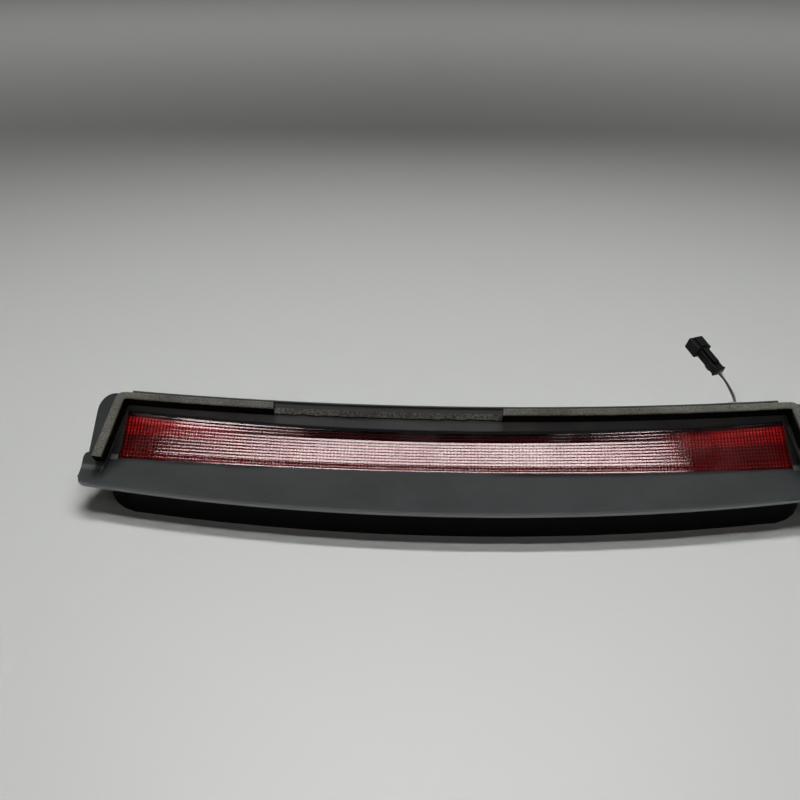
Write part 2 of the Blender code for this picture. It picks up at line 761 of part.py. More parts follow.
def bulb_frame(name, x):
    """Frame at a bulb's seat: +Y points backwards along the bulb's axis."""
    seat = back_wall(x) - SOCKET_REACH
    return make_frame(name, (x, seat, BULB_HEIGHT), (0, 0, turn_of(x, BACK_WALL_RADIUS)), LAMP)


def wire_eyelet():
    """Hooked arm at the carrier's right end with an eye that the wires pass through."""
    arm = box("eyelet_arm", Vector((210.4, 101.0, 25.0)) * MM, Vector((212.6, 109.0, 34.0)) * MM)
    eye = box("eyelet_plate", Vector((202.6, 107.0, 25.0)) * MM, Vector((211.0, 109.0, 34.2)) * MM)
    hole = cylinder("eyelet_hole", 3.5 * MM, Vector((207.0, 105.0, 28.4)) * MM,
                    Vector((208.0, 112.0, 31.6)) * MM)
    join(arm, eye)
    cut(arm, hole)
    return arm


def make_carrier():
    thickness = CARRIER_THICKNESS
    carrier = follow_back("bulb_carrier", CARRIER_HALF, CARRIER_BOTTOM, CARRIER_TOP, GAP, thickness,
                          "carrier_plastic")
    for i, x in enumerate(BULB_POSITIONS):
        frame = bulb_frame(f"bulb_seat_{i + 1}", x)
        to_plate = SOCKET_REACH + GAP + thickness
        socket = cylinder(f"socket_{i + 1}", SOCKET_RADIUS, (0, 0, 0), (0, to_plate - 1 * MM, 0),
                          parent=frame)
        boss = cylinder(f"boss_{i + 1}", BOSS_RADIUS, (0, to_plate - 1 * MM - GAP, 0),
                        (0, to_plate + BOSS_DEPTH, 0), parent=frame)
        half_width = BASE_WIDTH / 2 + GAP
        half_height = BASE_THICKNESS / 2 + GAP
        slot = box(f"bulb_slot_{i + 1}", (-half_width, -2 * MM, -half_height),
                   (half_width, BASE_LENGTH + GAP, half_height), parent=frame)
        join(carrier, socket, boss)
        cut(carrier, slot)
        make_bulb(f"bulb_{i + 1}", frame)
    join(carrier, wire_eyelet())


def make_bulb(name, frame):
    """Capless bulb: a round envelope with a flat wedge base that pushes into the slot."""
    half = BASE_WIDTH / 2
    bulb = box(name, (-half, -1.5 * MM, -BASE_THICKNESS / 2), (half, BASE_LENGTH, BASE_THICKNESS / 2),
               "bulb_glass", parent=frame)
    profile = [(0.0, BULB_LENGTH)]
    for angle in (25, 50, 75, 90):
        turn = math.radians(angle)
        profile.append((BULB_RADIUS * math.sin(turn), BULB_LENGTH - BULB_RADIUS * (1 - math.cos(turn))))
    profile += [(BULB_RADIUS, 3 * MM), (BULB_RADIUS * 0.8, 0.4 * MM), (0.0, 0.4 * MM)]
    envelope_glass = turned(f"{name}_envelope", profile, parent=frame, steps=16)
    envelope_glass.rotation_euler.x = math.radians(90)
    join(bulb, envelope_glass)


def make_rails():
    near = GAP + CARRIER_THICKNESS + GAP
    for name, level in RAIL_LEVELS.items():
        bottom = level - RAIL_HEIGHT / 2
        follow_back(f"{name}_rail", RAIL_HALF, bottom, bottom + RAIL_HEIGHT, near, RAIL_THICKNESS, "brass")
        x = RAIL_HALF - 4.3 * MM
        tab = box(f"{name}_terminal", (-4 * MM, 0, -1.4 * MM), (4 * MM, 2 * MM, 1.4 * MM), "brass",
                  round_edges=0.3 * MM)
        tab.location = (x, back_wall(x) + near + RAIL_THICKNESS + GAP, level)
        tab.rotation_euler.z = turn_of(x, BACK_WALL_RADIUS)


def make_latches():
    """Sprung tongues at the carrier's ends, each turning about an upright axis at its root."""
    for side, sign in (("left", -1), ("right", 1)):
        x = sign * (CARRIER_HALF + GAP)
        frame = make_frame(f"latch_axis_{side}", (x, back_wall(x) + GAP, BULB_HEIGHT),
                           (0, 0, turn_of(x, BACK_WALL_RADIUS)), LAMP)
        ends = sorted((sign * LATCH_ROOT, sign * LATCH_LENGTH))
        tongue = box(f"carrier_latch_{side}", (ends[0], 0.2 * MM, -LATCH_HEIGHT / 2),
                     (ends[1], 0.2 * MM + LATCH_THICKNESS, LATCH_HEIGHT / 2), "carrier_plastic", frame)
        tip = sorted((sign * (LATCH_LENGTH - 2.5 * MM), sign * LATCH_LENGTH))
        nib = box(f"latch_nib_{side}", (tip[0], 1 * MM, -LATCH_HEIGHT / 2),
                  (tip[1], 5 * MM, LATCH_HEIGHT / 2), parent=frame)
        join(tongue, nib)


# ---------------------------------------------------------------- screws and brackets

def screw(name, location, rotation, length):
    """Pan-head screw with its head's seat at the origin and its shank along -Z."""
    head = SCREW_HEAD_RADIUS
    shank = SCREW_SHANK_RADIUS
    height = SCREW_HEAD_HEIGHT
    profile = [(0.0, height), (head * 0.6, height), (head, height * 0.45), (head, 0.0), (shank, 0.0),
               (shank, 1 * MM - length), (0.0, -length)]
    part = turned(name, profile, "zinc_steel", steps=16)
    low = height - 1 * MM
    high = height + 1 * MM
    across = box(f"{name}_slot_a", (-2 * MM, -0.4 * MM, low), (2 * MM, 0.4 * MM, high))
    along = box(f"{name}_slot_b", (-0.4 * MM, -2 * MM, low), (0.4 * MM, 2 * MM, high))
    cut(part, across, along)
    for obj in (part, across, along):
        obj.location = location
        obj.rotation_euler = rotation


def make_screws():
    quarter = math.radians(90)
    for i, x in enumerate(SCREW_POSITIONS):
        depth = rear_edge(x) + 2.4 * MM + GAP
        turn = turn_of(x, REAR_EDGE_RADIUS)
        screw(f"housing_screw_{i + 1}", (x - 2.7 * MM * math.sin(turn), depth, SCREW_HEIGHT),
              (-quarter, 0, turn), HOUSING_SCREW_LENGTH)
    for side, x in BRACKET_POSITIONS.items():
        seat = HOUSING_BOTTOM - GAP - BRACKET_THICKNESS - GAP
        screw(f"bracket_screw_{side}", (x, back_wall(x) - 12 * MM, seat), (2 * quarter, 0, 0),
              BRACKET_SCREW_LENGTH)


def make_brackets():
    """Steel brackets under the housing, each with a foot for a fixing screw."""
    thickness = BRACKET_THICKNESS
    top = HOUSING_BOTTOM - GAP
    foot = -STAND_HEIGHT
    for side, x in BRACKET_POSITIONS.items():
        rear = back_wall(x)
        profile = [
            (rear - 20 * MM, top - thickness), (rear - 20 * MM, top), (rear - 3.5 * MM, top),
            (rear - 1.5 * MM, foot + thickness), (rear + 14 * MM, foot + thickness), (rear + 14 * MM, foot),
            (rear - 2.7 * MM, foot), (rear - 4.7 * MM, top - thickness),
        ]
        sections = [at(x - BRACKET_WIDTH / 2, profile), at(x + BRACKET_WIDTH / 2, profile)]
        bracket = loft(f"fixing_bracket_{side}", sections, "zinc_steel")
        upper = cylinder(f"bracket_upper_hole_{side}", SCREW_HOLE_RADIUS, (x, rear - 12 * MM, 0),
                         (x, rear - 12 * MM, 8 * MM), segments=16)
        lower = cylinder(f"bracket_foot_hole_{side}", FOOT_HOLE_RADIUS, (x, rear + 8 * MM, foot - 3 * MM),
                         (x, rear + 8 * MM, foot + 4 * MM), segments=16)
        cut(bracket, upper, lower)


# ---------------------------------------------------------------- lead and plug

def smooth_route(points, spacing):
    """Evenly spaced points on a Catmull-Rom curve through the route's own points."""
    points = [Vector(point) * MM for point in points]
    padded = [points[0] * 2 - points[1]] + points + [points[-1] * 2 - points[-2]]
    fine = []
    for a, b, c, d in zip(padded, padded[1:], padded[2:], padded[3:]):
        for i in range(12):
            t = i / 12
            fine.append(0.5 * (2 * b + (c - a) * t + (2 * a - 5 * b + 4 * c - d) * t * t
                               + (3 * b - 3 * c + d - a) * t ** 3))
    fine.append(points[-1])
    length = sum((q - p).length for p, q in zip(fine, fine[1:]))
    wanted = max(2, round(length / spacing))
    result = [fine[0]]
    walked = 0.0
    for p, q in zip(fine, fine[1:]):
        walked += (q - p).length
        if walked >= length / wanted * len(result) - 1e-9 and len(result) < wanted:
            result.append(q)
    return result + [fine[-1]]


def wire(name, route, look):
    curve = bpy.data.curves.new(name, "CURVE")
    curve.dimensions = "3D"
    curve.bevel_depth = WIRE_DIAMETER / 2
    curve.bevel_resolution = 2
    curve.use_fill_caps = True
    points = smooth_route(route, 2.5 * WIRE_DIAMETER)
    spline = curve.splines.new("POLY")
    spline.points.add(len(points) - 1)
    for slot, point in zip(spline.points, points):
        slot.co = (*point, 1.0)
    curve.materials.append(MATERIALS[look])
    obj = bpy.data.objects.new(name, curve)
    obj.parent = LAMP
    PARTS.objects.link(obj)


def centred_box(name, size, rear, look=None, lift=0.0, parent=None, round_edges=0.0):
    """Box of a plug piece: centred across, starting at a distance from the plug's rear face."""
    low = (-size.x / 2, rear, lift - size.z / 2)
    high = (size.x / 2, rear + size.y, lift + size.z / 2)
    return box(name, low, high, look, parent, round_edges)


def make_plug():
    across = PLUG_AXIS.cross(Vector((0, 0, 1))).normalized()
    above = across.cross(PLUG_AXIS)
    frame = make_frame("plug_frame", PLUG_REAR, parent=LAMP)
    frame.rotation_euler = Matrix((across, PLUG_AXIS, above)).transposed().to_euler()
    head_rear = PLUG_LENGTH - PLUG_HEAD.y
    housing = centred_box("plug_housing", PLUG_HEAD, head_rear, "plug_plastic", 0, frame, 0.5 * MM)
    body = centred_box("plug_body", PLUG_BODY, 0.5 * MM, None, 0, frame, 0.4 * MM)
    flange = centred_box("plug_flange", PLUG_FLANGE, 0.0, None, 0, frame, 0.3 * MM)
    rib = centred_box("plug_rib", Vector((5.0, 10.0, 1.6)) * MM, head_rear + 1.5 * MM, None,
                      PLUG_HEAD.z / 2 + 0.5 * MM, frame, 0.3 * MM)
    join(housing, body, flange, rib)
    for name, sign in (("live", -1), ("earth", 1)):
        slot = centred_box(f"plug_slot_{name}", Vector((2.4, 10.0, 3.6)) * MM, PLUG_LENGTH - 8 * MM, None,
                           0, frame)
        pin = centred_box(f"plug_terminal_{name}", Vector((1.6, 6.4, 2.8)) * MM, PLUG_LENGTH - 7.6 * MM,
                          "brass", 0, frame)
        slot.location.x = sign * TERMINAL_OFFSET
        pin.location.x = sign * TERMINAL_OFFSET
        cut(housing, slot)
    hinge_place = (0, head_rear - 1.6 * MM, PLUG_BODY.z / 2 + 1.6 * MM)
    hinge = make_frame("plug_latch_axis", hinge_place, parent=frame)
    box("plug_latch", (-2.2 * MM, -14 * MM, -0.6 * MM), (2.2 * MM, 1.2 * MM, 0.6 * MM), "plug_plastic",
        hinge, 0.3 * MM)
    centred_box("plug_lock", Vector((6.6, 5.0, 1.2)) * MM, 6 * MM, "plug_plastic",
                -PLUG_BODY.z / 2 - 0.6 * MM - GAP, frame, 0.25 * MM)


make_shroud()
make_foam()
make_lens()
make_housing()
make_reflector()
make_carrier()
make_rails()
make_latches()
make_screws()
make_brackets()
wire("wire_live", LIVE_ROUTE, "wire_black")
wire("wire_earth", EARTH_ROUTE, "wire_light")
make_plug()
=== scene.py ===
"""Third brake light: finished surfaces, floor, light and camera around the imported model.

X runs along the lamp, the lens faces -Y and +Z is up. Lengths are in metres. Heights among the
constants are counted from the lamp's own level, which lies STAND_HEIGHT above the floor.
"""

import json
import math

import bmesh
import bpy
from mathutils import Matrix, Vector, noise as vector_noise


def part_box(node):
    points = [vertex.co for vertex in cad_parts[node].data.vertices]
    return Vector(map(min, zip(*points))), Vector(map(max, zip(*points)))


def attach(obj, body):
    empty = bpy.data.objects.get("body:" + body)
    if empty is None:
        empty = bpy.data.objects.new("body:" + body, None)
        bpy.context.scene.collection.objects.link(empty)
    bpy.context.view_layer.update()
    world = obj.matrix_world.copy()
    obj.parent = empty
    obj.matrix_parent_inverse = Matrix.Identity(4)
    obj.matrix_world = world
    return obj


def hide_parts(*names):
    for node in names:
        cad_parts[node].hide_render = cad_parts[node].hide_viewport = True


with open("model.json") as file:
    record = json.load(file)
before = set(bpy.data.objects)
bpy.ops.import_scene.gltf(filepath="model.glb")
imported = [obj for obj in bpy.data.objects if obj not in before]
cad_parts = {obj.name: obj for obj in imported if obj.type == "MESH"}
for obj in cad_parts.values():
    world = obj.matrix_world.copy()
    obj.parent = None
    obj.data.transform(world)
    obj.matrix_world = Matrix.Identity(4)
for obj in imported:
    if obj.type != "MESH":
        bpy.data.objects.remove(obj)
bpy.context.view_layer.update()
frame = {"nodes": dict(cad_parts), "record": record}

MM = 0.001
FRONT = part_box("shroud")[0].y
STAND_HEIGHT = 10 * MM

# Camera, placed from the lamp's own frame.
CAMERA_PLACE = (-28.6 * MM, FRONT - 402.4 * MM, STAND_HEIGHT + 326.3 * MM)
CAMERA_TURN = (60.028, -0.306, 1.237)
CAMERA_LENS = 36

# The lead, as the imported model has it: points from the terminals to the plug's rear.
WIRE_DIAMETER = 1.6 * MM
LIVE_ROUTE = [
    (200.4, 103.4, 28.6), (202.4, 103.5, 28.7), (204.3, 104.1, 29.1), (205.9, 105.3, 29.8),
    (206.9, 107.0, 30.9), (207.6, 109.2, 32.3), (208.0, 112.0, 33.7), (208.1, 116.0, 35.3),
    (207.7, 121.0, 36.9), (207.0, 128.0, 38.4), (206.5, 134.0, 39.0), (206.1, 139.0, 39.0),
    (205.6, 142.4, 39.1), (204.8, 144.1, 39.7),
]
EARTH_ROUTE = [
    (200.4, 103.4, 9.6), (202.8, 103.5, 10.4), (204.8, 103.8, 12.8), (205.9, 104.1, 16.6),
    (206.3, 104.4, 20.6), (206.6, 105.2, 24.4), (207.0, 106.8, 27.6), (207.7, 109.4, 29.8),
    (208.3, 112.8, 31.7), (208.4, 117.0, 33.4), (208.2, 122.0, 34.9), (207.8, 128.0, 36.4),
    (207.8, 134.0, 37.2), (207.9, 139.0, 37.9), (207.8, 143.2, 38.9), (207.0, 145.1, 39.7),
]

# The lamp's curves, as depths behind the front edge and plan radii.
LENS_FOOT_DEPTH = 45.3 * MM
LENS_FOOT_RADIUS = 2276 * MM
LENS_FOOT_HEIGHT = 12.5 * MM
REAR_EDGE_DEPTH = 73.4 * MM
REAR_EDGE_RADIUS = 1686 * MM
REAR_HEIGHT = 47 * MM
GLASS_TILT = math.radians(34)
ROOF_DOWN = 18.1 * MM
ROOF_TAPER = 4.1 * MM
ROOF_HALF = 227 * MM
LENS_TUCK = 1.5 * MM
LENS_DROP = 2.2 * MM
LENS_SKIRT = 2 * MM
LENS_HALF_LOW = 235.4 * MM
LENS_HALF_HIGH = 231.5 * MM
LENS_THICKNESS = 2.4 * MM

# Flutes across the lens's front: round ones at its foot, slanted facets above, flatter ones at
# its top. LENS_SLOPE is the way up the lens's face, and the lens's painted light and shade are set
# along that way: lighter in the upper part of the ends where the lit reflector shows through,
# darker in a band at the top.
FLUTE_PITCH = 2.0 * MM
ROUND_FLUTES = 2
ROUND_FLUTE_RISE = 0.45 * MM
FACET_FLUTES = 10
FACET_SHARE = 0.75
FACET_TILT = 11.5
FACET_SWELL = 4.0
TOP_TILT = 2.5
FLUTE_SAMPLES = 10
RIB_PITCH = 2.36 * MM
RIB_RISE = 0.5 * MM
LENS_SLOPE = 28.55 * MM
LENS_END_PAINTED_LIGHT = [
    (0.0, (0.42, 0.5, 0.5)), (0.5, (0.38, 0.5, 0.5)), (0.62, (1.0, 1.0, 1.0)),
    (0.84, (0.9, 0.9, 0.9)), (0.9, (0.14, 0.3, 0.4)),
]
LENS_MIDDLE_PAINTED_LIGHT = [
    (0.0, (0.45, 0.45, 0.45)), (0.6, (0.4, 0.4, 0.4)), (0.68, (0.2, 0.2, 0.22)),
    (0.9, (0.14, 0.3, 0.4)),
]
LENS_END_RIBS = (60, 76)
LENS_COLUMNS = 300
LENS_BACK_ROWS = 12
SAMPLES_PER_RIB = 8
LENS_SHARP_ANGLE = math.radians(12)

# Foam gasket: distances down the plate from its rear edge.
FOAM_THICKNESS = 10 * MM
FOAM_LIFT = 0.3 * MM
FOAM_OUTER_DOWN = 5.4 * MM
FOAM_INNER_DOWN = 11.1 * MM
FOAM_END_DOWN = 55.2 * MM
FOAM_ROUNDING = 1.1 * MM
FOAM_LEFT_END = -124 * MM
FOAM_RIGHT_START = 35 * MM
FOAM_SEAM = 187.3 * MM
FOAM_CORNER_START = 219 * MM
FOAM_STEP = 1.5 * MM
FOAM_LEAN = 1.2 * MM
FOAM_GRAIN = 0.12 * MM
TORN_GRAIN = 0.18 * MM
TORN_ROUNDING = 0.4 * MM
TORN_STEP = 0.7 * MM
FOAM_SHARP_ANGLE = math.radians(60)

# Moulded pieces that are shown as copies with rounded edges, and the width of the rounding.
ROUNDED = {
    "shroud": 0.5 * MM, "lamp_housing": 0.4 * MM, "bulb_carrier": 0.4 * MM,
    "carrier_latch_left": 0.3 * MM, "carrier_latch_right": 0.3 * MM,
    "fixing_bracket_left": 0.3 * MM, "fixing_bracket_right": 0.3 * MM,
}
EDGE_ANGLE = math.radians(28)
MERGE_DISTANCE = 0.02 * MM
FLAT_ANGLE = math.radians(0.05)

# The shroud's finish by height: painted shade, near black, below the skirt's top, and a painted
# highlight on front-facing faces below the lip's top.
SKIRT_TOP = (STAND_HEIGHT + 8.2 * MM, STAND_HEIGHT + 9.2 * MM)
LIP_TOP = (STAND_HEIGHT + 15 * MM, STAND_HEIGHT + 14 * MM)
WHITE = (1, 1, 1)
# Painted shade on the skirt, and a painted highlight along the lip.
SKIRT_PAINTED_SHADE = (0.002, 0.002, 0.002)
LIP_PAINTED_HIGHLIGHT = (0.3, 0.305, 0.305)
# Painted shade for foam faces that turn sideways or down.
FOAM_SIDE_PAINTED_SHADE = (0.006, 0.006, 0.005)
SHADOW_TINT = (0.75, 0.02, 0.03, 1)

# The floor's section, as radius and height in metres, and the size of the two long lamps.
FLOOR_PROFILE = [
    (0.0, 0.0), (5.6, 0.0), (6.1, 0.08), (6.5, 0.35), (6.8, 0.8), (6.95, 1.5), (7.0, 4.0),
]
FLOOR_STEPS = 96
TUBE_SIZE = (1.6, 0.12)
WASH_SIZE = (5.0, 1.5)
WASHES = (
    ("rear_wash", 0, 1, 58), ("front_wash", 0, -1, 40), ("left_wash", -1, 0, 40),
    ("right_wash", 1, 0, 40),
)


# ---------------------------------------------------------------- camera

def make_camera():
    data = bpy.data.cameras.new("camera")
    data.lens = CAMERA_LENS
    data.sensor_width = 36
    camera = bpy.data.objects.new("camera", data)
    camera.location = CAMERA_PLACE
    camera.rotation_euler = [math.radians(angle) for angle in CAMERA_TURN]
    bpy.context.scene.collection.objects.link(camera)
    bpy.context.scene.camera = camera


# ---------------------------------------------------------------- materials

def new_material(name, colour, roughness, metallic=0.0):
    material = bpy.data.materials.new(name)
    material.use_nodes = True
    shader = material.node_tree.nodes["Principled BSDF"]
    shader.inputs["Base Color"].default_value = (*colour, 1.0)
    shader.inputs["Roughness"].default_value = roughness
    shader.inputs["Metallic"].default_value = metallic
    return material


def wire_up(material, output, target):
    material.node_tree.links.new(output, target)


def ramp(material, source, stops):
    made = material.node_tree.nodes.new("ShaderNodeValToRGB")
    elements = made.color_ramp.elements
    while len(elements) < len(stops):
        elements.new(0.5)
    for element, (place, colour) in zip(elements, stops):
        element.position = place
        element.color = (*colour, 1.0)
    wire_up(material, source, made.inputs["Fac"])
    return made.outputs["Color"]


def noise(material, scale, detail=2.0, roughness=0.5):
    place = material.node_tree.nodes.new("ShaderNodeTexCoord")
    made = material.node_tree.nodes.new("ShaderNodeTexNoise")
    made.inputs["Scale"].default_value = scale
    made.inputs["Detail"].default_value = detail
    made.inputs["Roughness"].default_value = roughness
    wire_up(material, place.outputs["Object"], made.inputs["Vector"])
    return made.outputs["Fac"]


def bump(material, height, strength, distance):
    made = material.node_tree.nodes.new("ShaderNodeBump")
    made.inputs["Strength"].default_value = strength
    made.inputs["Distance"].default_value = distance
    wire_up(material, height, made.inputs["Height"])
    shader = material.node_tree.nodes["Principled BSDF"]
    wire_up(material, made.outputs["Normal"], shader.inputs["Normal"])


def maths(material, operation, first, second=0.0):
    """Result of a calculation; the second value is an output or a number."""
    made = material.node_tree.nodes.new("ShaderNodeMath")
    made.operation = operation
    wire_up(material, first, made.inputs[0])
    if isinstance(second, (int, float)):
        made.inputs[1].default_value = second
    else:
        wire_up(material, second, made.inputs[1])
    return made.outputs[0]


def between(material, source, low, high):
    """A value that goes from 0 to 1 as the source goes from low to high."""
    made = material.node_tree.nodes.new("ShaderNodeMapRange")
    made.inputs["From Min"].default_value = low
    made.inputs["From Max"].default_value = high
    wire_up(material, source, made.inputs["Value"])
    return made.outputs["Result"]


def wave(material, source):
    """A value that is 0 at whole numbers of the source and 1 half-way between them."""
    turned = maths(material, "MULTIPLY", source, math.pi)
    return maths(material, "ABSOLUTE", maths(material, "SINE", turned))


def set_from(material, socket, output):
    wire_up(material, output, material.node_tree.nodes["Principled BSDF"].inputs[socket])


def plastic(name, dark, light, roughness, grain=0.25, gloss=0.5):
    """Moulded plastic: fine grain, and slow changes of tone and gloss."""
    material = new_material(name, light, roughness)
    material.node_tree.nodes["Principled BSDF"].inputs["Specular IOR Level"].default_value = gloss
    tone = ramp(material, noise(material, 22, 4, 0.6), [(0.35, dark), (0.65, light)])
    set_from(material, "Base Color", tone)
    low = (roughness - 0.06,) * 3
    high = (roughness + 0.06,) * 3
    polish = ramp(material, noise(material, 60, 3), [(0.35, low), (0.65, high)])
    set_from(material, "Roughness", polish)
    bump(material, noise(material, 1800, 2), grain, 0.1 * MM)
    return material


def facing(material, axis, low, high):
    """A value that goes from 0 to 1 as the surface turns along an axis from low to high."""
    geometry = material.node_tree.nodes.new("ShaderNodeNewGeometry")
    split = material.node_tree.nodes.new("ShaderNodeSeparateXYZ")
    wire_up(material, geometry.outputs["Normal"], split.inputs[0])
    return between(material, split.outputs[axis], low, high)


def blend_tone(material, factor, first, second, blend_type="MIX"):
    """Mix two colours; each is an output or a plain colour."""
    mix = material.node_tree.nodes.new("ShaderNodeMix")
    mix.data_type = "RGBA"
    mix.blend_type = blend_type
    for socket, value in (("Factor", factor), ("A", first), ("B", second)):
        if isinstance(value, float):
            mix.inputs[socket].default_value = value
        elif isinstance(value, tuple):
            mix.inputs[socket].default_value = (*value, 1)
        else:
            wire_up(material, value, mix.inputs[socket])
    return mix.outputs["Result"]


def tone_of(material):
    return material.node_tree.nodes["Principled BSDF"].inputs["Base Color"].links[0].from_socket


def foam_look(name, dark, light, pores):
    """Open foam: matt and grainy with dark pores, and painted shade, nearly black, on faces that
    turn sideways or down.
    """
    material = plastic(name, dark, light, 0.95, 0.8, 0.0)
    grains = ramp(material, noise(material, pores, 4), [(0.38, (0.4, 0.4, 0.4)), (0.58, WHITE)])
    grainy = blend_tone(material, 1.0, tone_of(material), grains, "MULTIPLY")
    # Painted shade: faces that turn sideways or down are coloured nearly black.
    upward = facing(material, "Z", -0.1, 0.4)
    set_from(material, "Base Color", blend_tone(material, upward, FOAM_SIDE_PAINTED_SHADE, grainy))
    return material


def red_plastic():
    """Clear red plastic, with painted shade between the beads that its flutes and ribs make.

    How light it is also changes up the lens as painted light and shade, by one row of tones at its
    ends and another in its middle: lighter where the lit reflector shows through at the ends,
    darker in a band at the top. Shadow rays pass straight through it, tinted.
    """
    material = new_material("red_lens", (0.62, 0.008, 0.016), 0.1)
    shader = material.node_tree.nodes["Principled BSDF"]
    shader.inputs["Transmission Weight"].default_value = 0.92
    shader.inputs["IOR"].default_value = 1.49
    tree = material.node_tree
    place = tree.nodes.new("ShaderNodeUVMap")
    place.uv_map = "flutes"
    split = tree.nodes.new("ShaderNodeSeparateXYZ")
    wire_up(material, place.outputs[0], split.inputs[0])
    across = wave(material, split.outputs["X"])
    along = wave(material, split.outputs["Y"])
    beads = maths(material, "MULTIPLY", across, along)
    climb = maths(material, "DIVIDE", split.outputs["Y"], LENS_SLOPE / FLUTE_PITCH)
    ends = between(material, maths(material, "ABSOLUTE", split.outputs["X"]), *LENS_END_RIBS)
    # Painted light and shade up the lens: one row for its middle, one for its ends.
    middle_painted_light = ramp(material, climb, LENS_MIDDLE_PAINTED_LIGHT)
    end_painted_light = ramp(material, climb, LENS_END_PAINTED_LIGHT)
    depth = blend_tone(material, ends, middle_painted_light, end_painted_light)
    # Painted shade in the grooves between the beads, and painted light on their crowns.
    tone = ramp(material, beads, [(0.0, (0.26, 0.014, 0.02)), (0.75, (1.0, 0.09, 0.1))])
    set_from(material, "Base Color", blend_tone(material, 1.0, tone, depth, "MULTIPLY"))
    polish = [(0.38, (0.07, 0.07, 0.07)), (0.62, (0.15, 0.15, 0.15))]
    set_from(material, "Roughness", ramp(material, noise(material, 45, 2), polish))
    path = tree.nodes.new("ShaderNodeLightPath")
    clear = tree.nodes.new("ShaderNodeBsdfTransparent")
    clear.inputs["Color"].default_value = SHADOW_TINT
    mix = tree.nodes.new("ShaderNodeMixShader")
    wire_up(material, path.outputs["Is Shadow Ray"], mix.inputs[0])
    wire_up(material, shader.outputs[0], mix.inputs[1])
    wire_up(material, clear.outputs[0], mix.inputs[2])
    wire_up(material, mix.outputs[0], tree.nodes["Material Output"].inputs["Surface"])
    return material


def shroud_plastic():
    """Charcoal plastic with a fine speckle, a painted highlight along the lip and painted shade,
    near black, on the skirt.
    """
    dark, light = (0.04, 0.044, 0.0445), (0.051, 0.056, 0.0565)
    material = plastic("shroud_plastic", dark, light, 0.45, 0.35, 0.045)
    tree = material.node_tree
    place = tree.nodes.new("ShaderNodeTexCoord")
    split = tree.nodes.new("ShaderNodeSeparateXYZ")
    wire_up(material, place.outputs["Object"], split.inputs[0])
    # Painted shade: below the skirt's top the plastic is coloured near black.
    above = between(material, split.outputs["Z"], *SKIRT_TOP)
    lip = between(material, split.outputs["Z"], *LIP_TOP)
    speckle = ramp(material, noise(material, 2600), [(0.62, WHITE), (0.72, (1.7, 1.7, 1.7))])
    speckled = blend_tone(material, 1.0, tone_of(material), speckle, "MULTIPLY")
    # Painted highlight: front-facing faces below the lip's top are coloured lighter.
    lip_highlight_mask = maths(material, "MULTIPLY", facing(material, "Y", -0.35, -0.75), lip)
    lip_highlighted = blend_tone(material, lip_highlight_mask, speckled, LIP_PAINTED_HIGHLIGHT)
    set_from(material, "Base Color", blend_tone(material, above, SKIRT_PAINTED_SHADE, lip_highlighted))
    return material


def metal(name, colour, roughness):
    """Bare metal with a slightly uneven polish."""
    material = new_material(name, colour, roughness, 1.0)
    low = (roughness * 0.9,) * 3
    high = (roughness * 1.15,) * 3
    polish = ramp(material, noise(material, 120), [(0.35, low), (0.65, high)])
    set_from(material, "Roughness", polish)
    dull = tuple(value * 0.9 for value in colour)
    tone = ramp(material, noise(material, 40, 3), [(0.35, dull), (0.65, colour)])
    set_from(material, "Base Color", tone)
    return material


def clear_glass():
    material = new_material("bulb_glass", (0.9, 0.92, 0.93), 0.03)
    shader = material.node_tree.nodes["Principled BSDF"]
    shader.inputs["Transmission Weight"].default_value = 1.0
    shader.inputs["IOR"].default_value = 1.2
    polish = ramp(material, noise(material, 90), [(0.4, (0.02,) * 3), (0.6, (0.06,) * 3)])
    set_from(material, "Roughness", polish)
    return material


BLACK = ((0.006, 0.006, 0.006), (0.012, 0.012, 0.012))
LOOKS = {
    "shroud_plastic": shroud_plastic(),
    "foam": foam_look("foam", (0.145, 0.139, 0.122), (0.255, 0.247, 0.216), 1500),
    "red_lens": red_plastic(),
    "gasket_rubber": plastic("gasket_rubber", *BLACK, 0.75),
    "housing_plastic": plastic(
        "housing_plastic", (0.012, 0.012, 0.013), (0.022, 0.022, 0.024), 0.4),
    "bright_reflector": metal("bright_reflector", (0.6, 0.6, 0.6), 0.4),
    "carrier_plastic": plastic("carrier_plastic", (0.4, 0.39, 0.36), (0.5, 0.49, 0.45), 0.45, 0.1),
    "brass": metal("brass", (0.75, 0.58, 0.28), 0.3),
    "bulb_glass": clear_glass(),
    "zinc_steel": metal("zinc_steel", (0.6, 0.6, 0.58), 0.35),
    "plug_plastic": plastic(
        "plug_plastic", (0.003, 0.003, 0.003), (0.006, 0.006, 0.006), 0.4, 0.1, 0.1),
    "wire_black": plastic("wire_black", *BLACK, 0.45, 0.1),
    "wire_light": plastic("wire_light", (0.45, 0.44, 0.41), (0.56, 0.55, 0.52), 0.45, 0.1),
}
TORN_FOAM = foam_look("torn_foam", (0.05, 0.049, 0.042), (0.16, 0.155, 0.135), 650)
SLOT_OF = {row["node"]: row["material_slot"] for row in frame["record"]["subparts"]}
BODY_OF = {name: body for body, names in frame["record"]["behaviour"]["bodies"].items()
           for name in names}


def dress_cad():
    """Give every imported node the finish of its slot."""
    for name, obj in frame["nodes"].items():
        for holder in obj.material_slots:
            holder.material = LOOKS[SLOT_OF[name]]


# ---------------------------------------------------------------- shape helpers

def add_piece(name, mesh, look, body, *nodes):
    obj = bpy.data.objects.new(name, mesh)
    bpy.context.scene.collection.objects.link(obj)
    mesh.materials.append(LOOKS[look])
    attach(obj, body)
    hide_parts(*nodes)
    return obj


